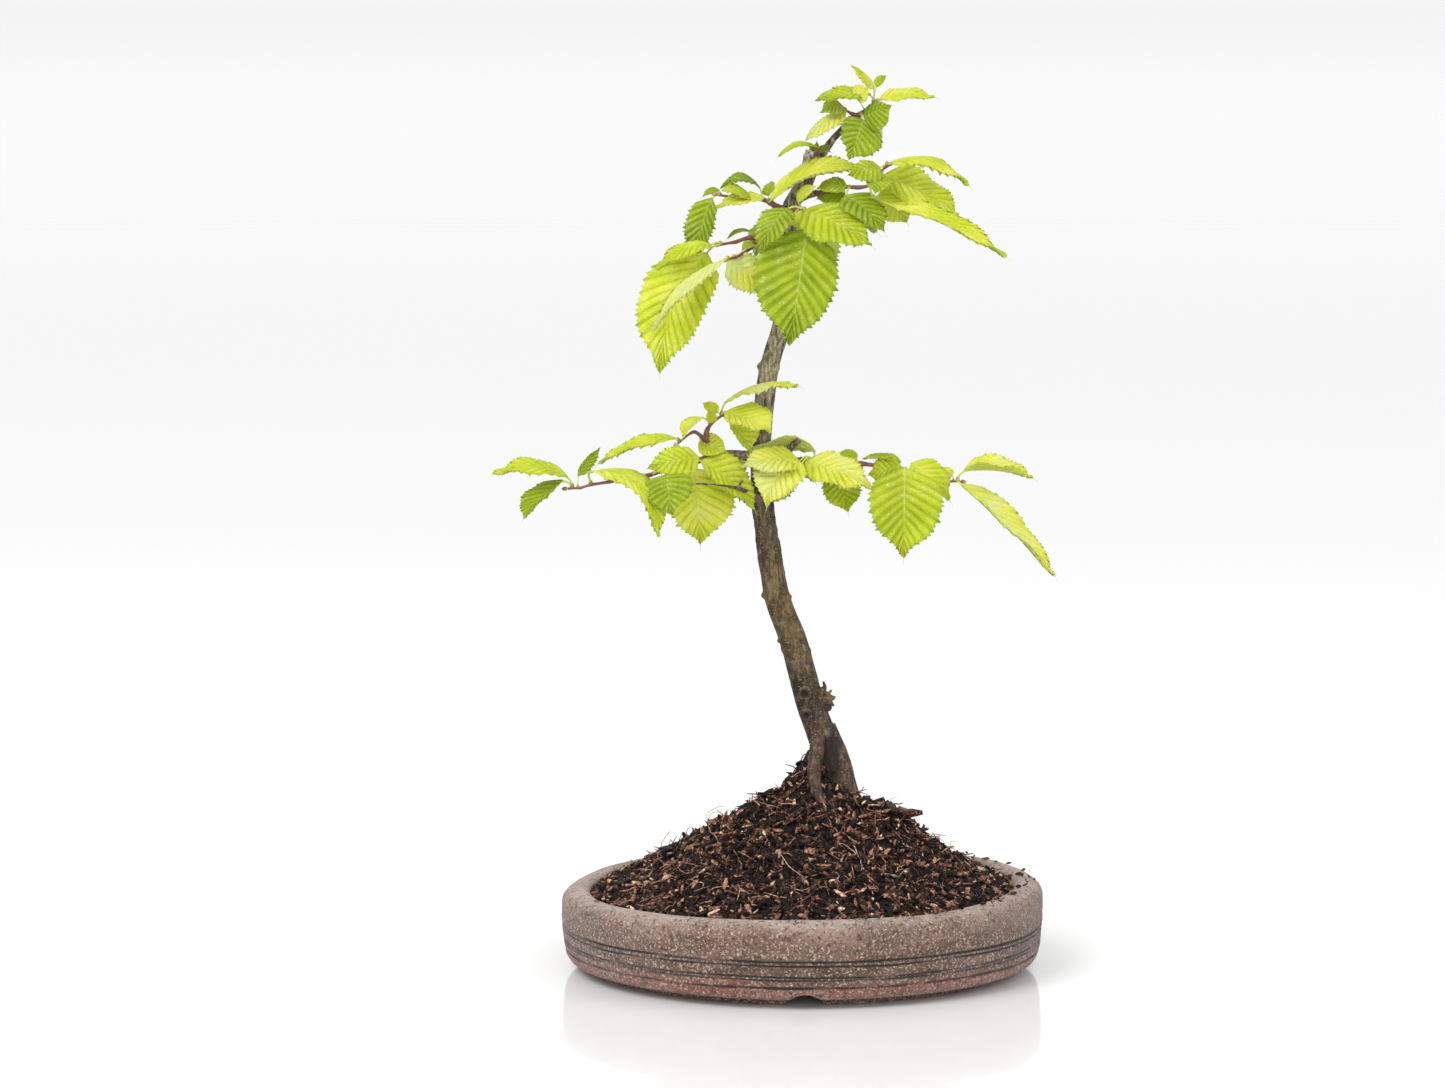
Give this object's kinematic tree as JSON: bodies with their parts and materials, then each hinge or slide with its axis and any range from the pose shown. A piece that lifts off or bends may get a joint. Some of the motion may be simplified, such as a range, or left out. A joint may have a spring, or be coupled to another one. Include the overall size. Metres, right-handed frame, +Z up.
{
  "type": "hornbeam bonsai in a round pot",
  "caption": "Young hornbeam bonsai with a curved trunk and two tiers of toothed leaves, standing in a mound of soil in a low round stoneware pot.",
  "frame": {"origin": "middle of the whole object's box, at the height of the surface that the pot's foot rests on", "axes": "+Z up along the tree, +X to the right and +Y away from a viewer who faces the tree's front"},
  "size_m": [0.2394, 0.1826, 0.3922],
  "materials": {
    "stoneware": "matte",
    "compost": "matte",
    "bark": "matte",
    "foliage": "satin"
  },
  "bodies": {
    "root": {"pot": "stoneware", "soil": "compost", "trunk": "bark", "spray_apex": "foliage", "spray_stump": "foliage", "spray_upper_left": "foliage", "spray_upper_left_low": "foliage", "spray_upper_front": "foliage", "spray_upper_right": "foliage", "spray_upper_back": "foliage", "spray_lower_left": "foliage", "spray_lower_left_fork": "foliage", "spray_lower_right": "foliage", "spray_lower_back": "foliage"}
  },
  "joints": []
}
